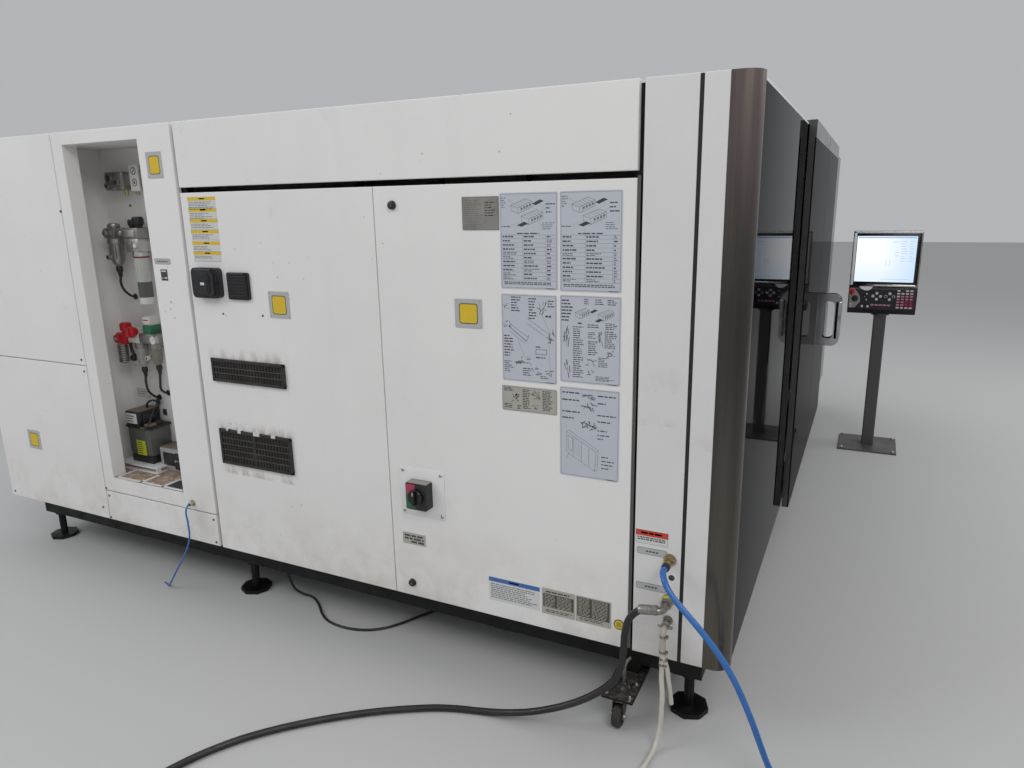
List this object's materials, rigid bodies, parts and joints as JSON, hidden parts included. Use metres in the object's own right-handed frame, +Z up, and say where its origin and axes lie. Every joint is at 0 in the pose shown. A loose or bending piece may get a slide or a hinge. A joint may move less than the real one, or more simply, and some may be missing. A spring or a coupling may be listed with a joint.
{
  "type": "fiber laser cutting machine",
  "caption": "Enclosed fiber laser sheet cutter: white panelled end wall with cabinet doors and service niche, dark glass sliding front, toothed drawer table, gantry and console.",
  "frame": {"origin": "on the floor under the centre foot, below the middle of the enclosure", "axes": "+X along the front to the drawer table's end, -X out of the wall with the cabinet doors, -Y out of the glass front, +Z up"},
  "size_m": [5.8337, 4.474, 2.1],
  "materials": {
    "panel_white": "satin powder coat, smudged and lightly scuffed",
    "stainless": "vertically brushed",
    "frame_dark": "matt dark paint",
    "black_plastic": "moulded, fine grain",
    "mirror_glass": "dark mirror-like glass",
    "aluminium": "anodised",
    "machine_grey": "machine paint",
    "housing_grey": "satin paint",
    "brass": "nickel and brass fittings",
    "red": "gloss",
    "zinc_steel": "zinc plated",
    "tyre": "solid rubber",
    "hose_black": "semi-gloss rubber",
    "hose_blue": "semi-gloss hose",
    "hose_white": "milky plastic hose",
    "screen": "screen glass"
  },
  "bodies": {
    "enclosure": {"base_frame": "frame_dark", "enclosure_frame": "frame_dark", "roof_panel": "panel_white", "top_fascia": "panel_white", "corner_column": "stainless", "corner_panel": "panel_white", "post_panel": "panel_white", "niche_housing": "panel_white", "kick_panel": "panel_white", "side_panel_lower": "panel_white", "side_panel_upper": "panel_white", "back_wall": "panel_white", "far_end_wall": "panel_white", "cabinet_housing": "housing_grey", "valve_block": "machine_grey", "filter_unit": "housing_grey", "regulator_unit": "aluminium", "niche_shelf": "panel_white", "lubrication_pump": "black_plastic", "gas_manifold": "brass", "front_header": "aluminium", "front_glass_left": "mirror_glass", "front_glass_right": "mirror_glass", "machine_bed": "machine_grey", "console_stand": "housing_grey", "nitrogen_hose": "hose_black", "nitrogen_coil": "hose_black", "nitrogen_coupling": "brass", "oxygen_hose": "hose_blue", "oxygen_coil": "hose_blue", "oxygen_coupling": "brass", "drain_hose": "hose_white", "drain_coil": "hose_white", "blue_tube": "hose_blue", "floor_cable": "hose_black"},
    "door_right": {"cabinet_door_right": "panel_white", "switch_housing": "black_plastic"},
    "switch": {"switch_knob": "black_plastic"},
    "door_left": {"cabinet_door_left": "panel_white", "vent_upper": "black_plastic", "vent_lower": "black_plastic", "outlet_box": "black_plastic", "port_cover": "black_plastic"},
    "shutoff": {"shutoff_knob": "red"},
    "leaf_left": {"leaf_frame_left": "aluminium", "leaf_glass_left": "mirror_glass", "leaf_handle_left": "stainless"},
    "leaf_right": {"leaf_frame_right": "aluminium", "leaf_glass_right": "mirror_glass", "leaf_handle_right": "stainless"},
    "table": {"drawer_table": "machine_grey"},
    "gantry": {"gantry_beam": "machine_grey"},
    "carriage": {"carriage": "panel_white"},
    "head": {"cutting_head": "black_plastic"},
    "caster": {"caster_fork": "zinc_steel"},
    "wheel": {"caster_wheel": "tyre"},
    "console": {"console_body": "housing_grey", "console_screen": "screen"},
    "estop": {"estop_button": "red"},
    "dial": {"mode_dial": "black_plastic"}
  },
  "joints": [
    {"name": "door_right_hinge", "type": "hinge", "parent": "enclosure", "child": "door_right", "pos_m": [-2.3, -1.563, 1.05], "axis": [0, 0, 1], "range_deg": [0, 90]},
    {"name": "door_left_hinge", "type": "hinge", "parent": "enclosure", "child": "door_left", "pos_m": [-2.3, 0.331, 1.05], "axis": [0, 0, 1], "range_deg": [-110, 0]},
    {"name": "main_switch", "type": "hinge", "parent": "door_right", "child": "switch", "pos_m": [-2.346, -0.7635, 0.7165], "axis": [-1, 0, 0], "range_deg": [0, 90]},
    {"name": "shutoff_turn", "type": "hinge", "parent": "enclosure", "child": "shutoff", "pos_m": [-2.2026, 0.956, 1.1995], "axis": [-1, 0, 0], "range_deg": [0, 90]},
    {"name": "leaf_left_slide", "type": "slide", "parent": "enclosure", "child": "leaf_left", "axis": [-1, 0, 0], "range_m": [0, 0.9]},
    {"name": "leaf_right_slide", "type": "slide", "parent": "enclosure", "child": "leaf_right", "axis": [1, 0, 0], "range_m": [0, 0.9]},
    {"name": "table_slide", "type": "slide", "parent": "enclosure", "child": "table", "axis": [1, 0, 0], "range_m": [0, 1.4]},
    {"name": "gantry_slide", "type": "slide", "parent": "enclosure", "child": "gantry", "axis": [1, 0, 0], "range_m": [0, 3.2]},
    {"name": "carriage_slide", "type": "slide", "parent": "gantry", "child": "carriage", "axis": [0, 1, 0], "range_m": [0, 1.5]},
    {"name": "head_slide", "type": "slide", "parent": "carriage", "child": "head", "axis": [0, 0, 1], "range_m": [-0.1, 0]},
    {"name": "caster_swivel", "type": "hinge", "parent": "enclosure", "child": "caster", "pos_m": [-2.305, -1.551, 0.11], "axis": [0, 0, 1], "continuous": true},
    {"name": "wheel_roll", "type": "hinge", "parent": "caster", "child": "wheel", "pos_m": [-2.343, -1.551, 0.0403], "axis": [0, 1, 0], "continuous": true},
    {"name": "console_turn", "type": "hinge", "parent": "enclosure", "child": "console", "pos_m": [1.28, -2.283, 0.975], "axis": [0, 0, 1], "range_deg": [-45, 45]},
    {"name": "estop_press", "type": "slide", "parent": "console", "child": "estop", "axis": [1, 0, 0], "range_m": [0, 0.005], "stiffness_N_per_m": 600, "springref_m": -0.002},
    {"name": "dial_turn", "type": "hinge", "parent": "console", "child": "dial", "pos_m": [1.19, -2.115, 1.0819], "axis": [-1, 0, 0], "range_deg": [-60, 60]}
  ]
}
